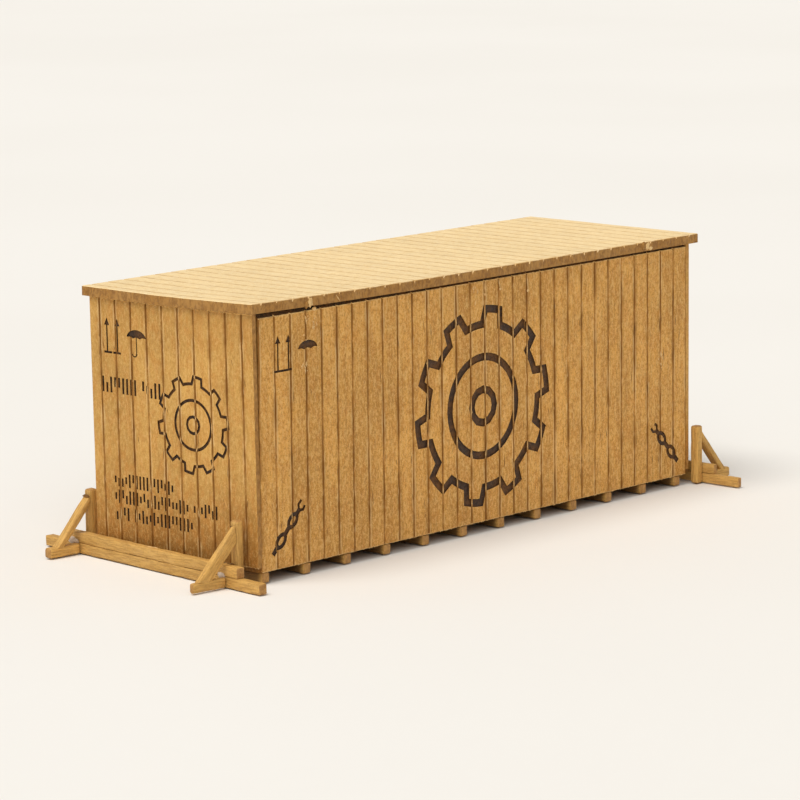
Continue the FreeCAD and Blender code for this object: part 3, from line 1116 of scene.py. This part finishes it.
def make_glue():
    """Dried glue and smudges on the frames, and torn fibres on the left one."""
    make_lumps("left_frame_glue", "brace_left", glue_material, (
        ((-32.45, -8.95, 1.05), (0.42, 0.48, 0.30)),
        ((-32.00, -10.64, 0.98), (0.26, 0.24, 0.14)),
        ((-30.85, 12.00, 1.12), (0.36, 0.62, 0.38))))
    make_lumps("left_frame_smudges", "brace_left", smudge_material, (
        ((-31.50, -9.30, 5.22), (0.13, 0.26, 0.15)),
        ((-29.75, 11.30, 5.20), (0.14, 0.42, 0.14)),
        ((-31.75, -9.45, 1.98), (0.20, 0.24, 0.08))))
    make_lumps("left_frame_fibre", "brace_left", fibre_material, (
        ((-31.15, 1.50, 1.96), (0.07, 0.50, 0.05)),
        ((-31.12, 0.90, 1.97), (0.05, 0.30, 0.06))))
    make_lumps("right_frame_glue", "brace_right", glue_material, (
        ((32.80, -12.10, 1.00), (0.30, 0.26, 0.16)),))
    make_lumps("right_frame_smudges", "brace_right", smudge_material, (
        ((33.90, -12.00, 1.02), (0.22, 0.20, 0.12)),))


def dress_inner_parts():
    """Gives the parts inside the crate, whose CAD shape is right, their material."""
    for node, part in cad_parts.items():
        if node == "base_plate":
            part.material_slots[0].material = edge_material
        if node.startswith(("corner_batten", "inner_rib")):
            part.material_slots[0].material = inner_material


# ---------------------------------------------------------------- stage, light and camera

def make_floor():
    """A plain pale floor, just under the crate."""
    surface = Surface("floor_paper")
    tone = surface.window(surface.noise(0.01, 2.0, 0.5), 0.3, 0.7)
    colour = surface.mix(tone, FLOOR, FLOOR_DARK)
    normal = surface.bump(surface.noise(1.5, 3.0, 0.6), 0.05, 0.02)
    material = surface.finish(colour, surface.window(surface.noise(0.5), -1.5, 1.2), normal, 0.1)
    form = bmesh.new()
    bmesh.ops.create_circle(form, cap_ends=True, segments=96, radius=FLOOR_RADIUS)
    mesh = to_mesh(form, "floor")
    mesh.transform(Matrix.Scale(MM, 4))
    mesh.materials.append(material)
    floor = bpy.data.objects.new("floor", mesh)
    floor.location.z = -FLOOR_GAP * MM
    bpy.context.scene.collection.objects.link(floor)


def make_light(name, place, angle, strength):
    """A far soft light that shines on the crate from the side where place is."""
    data = bpy.data.lights.new(name, "SUN")
    data.angle = math.radians(angle)
    data.energy = strength
    data.color = LAMP_TINT
    light = bpy.data.objects.new(name, data)
    light.location = place
    light.rotation_mode = "QUATERNION"
    light.rotation_quaternion = (-Vector(place)).to_track_quat("-Z", "Y")
    bpy.context.scene.collection.objects.link(light)


def make_lights():
    """A pale sky, a soft light overhead and a weaker one in front of the near corner."""
    world = bpy.data.worlds.new("studio")
    world.use_nodes = True
    background = world.node_tree.nodes["Background"]
    background.inputs["Color"].default_value = (*SKY, 1)
    background.inputs["Strength"].default_value = SKY_STRENGTH
    bpy.context.scene.world = world
    make_light("overhead", (-0.27, 0.02, 0.62), OVERHEAD_ANGLE, OVERHEAD_STRENGTH)
    make_light("front", (-0.40, -0.40, 0.44), FRONT_ANGLE, FRONT_STRENGTH)
    bpy.context.scene.view_settings.view_transform = "Standard"


def make_camera():
    """The camera, which looks at TARGET from a direction, turned a little about it."""
    back = Vector((math.sin(AZIMUTH) * math.cos(ELEVATION),
                   -math.cos(AZIMUTH) * math.cos(ELEVATION),
                   math.sin(ELEVATION)))
    level = Vector((0, 0, 1)).cross(back).normalized()
    upright = back.cross(level)
    right = math.cos(ROLL) * level + math.sin(ROLL) * upright
    up = -math.sin(ROLL) * level + math.cos(ROLL) * upright
    matrix = Matrix((right, up, back)).transposed().to_4x4()
    matrix.translation = (TARGET + back * DISTANCE) * MM
    data = bpy.data.cameras.new("camera")
    data.sensor_width = SENSOR
    data.lens = LENS
    data.clip_start = 0.01
    data.clip_end = 20
    camera = bpy.data.objects.new("camera", data)
    camera.matrix_world = matrix
    bpy.context.scene.collection.objects.link(camera)
    bpy.context.scene.camera = camera


make_camera()
make_lights()
make_floor()
make_crate_shell()
make_lid()
make_loose_fibres()
make_strips()
make_glue()
dress_inner_parts()
